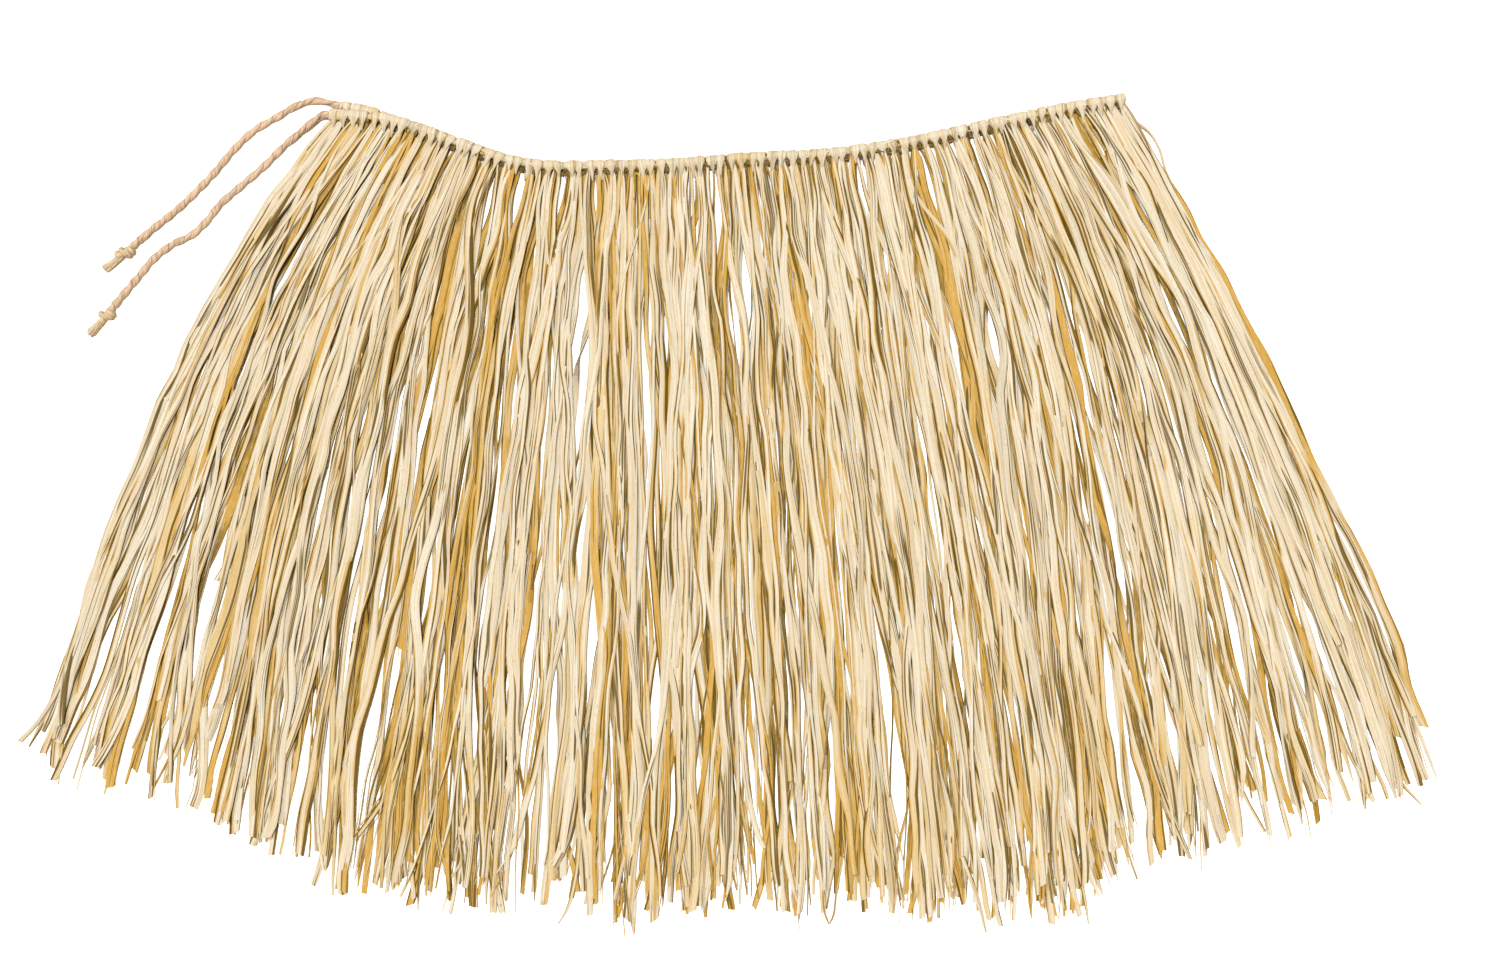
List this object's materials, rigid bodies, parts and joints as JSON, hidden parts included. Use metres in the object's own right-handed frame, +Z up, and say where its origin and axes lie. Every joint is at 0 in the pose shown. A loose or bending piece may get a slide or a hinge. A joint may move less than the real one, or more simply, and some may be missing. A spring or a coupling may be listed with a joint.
{
  "type": "grass skirt",
  "caption": "Wrap-around raffia skirt folded in half and laid flat: hitched grass locks fan out below a waist cord that ends in two knotted tie cords.",
  "frame": {"origin": "on the surface it lies on, under the middle of the folded skirt's bounding box", "axes": "+X from the strip's two ends towards the fold, +Y from the hem towards the waist, +Z up off the surface"},
  "size_m": [0.8276, 0.4906, 0.0098],
  "materials": {
    "waist_cord": "smooth wrapped cream raffia, satin",
    "raffia": "natural raffia ribbon, pale straw to gold, satin",
    "raffia_under": "natural raffia ribbon, shaded straw, satin",
    "tie_cord": "twisted two-ply cord, matt pinkish beige"
  },
  "bodies": {
    "root": {"waist_cord_front": "waist_cord", "waist_cord_back": "waist_cord", "fringe_front": "raffia", "fringe_back": "raffia_under", "tie_front": "tie_cord", "tie_back": "tie_cord", "tie_knot_front": "tie_cord", "tie_knot_back": "tie_cord"}
  },
  "joints": []
}
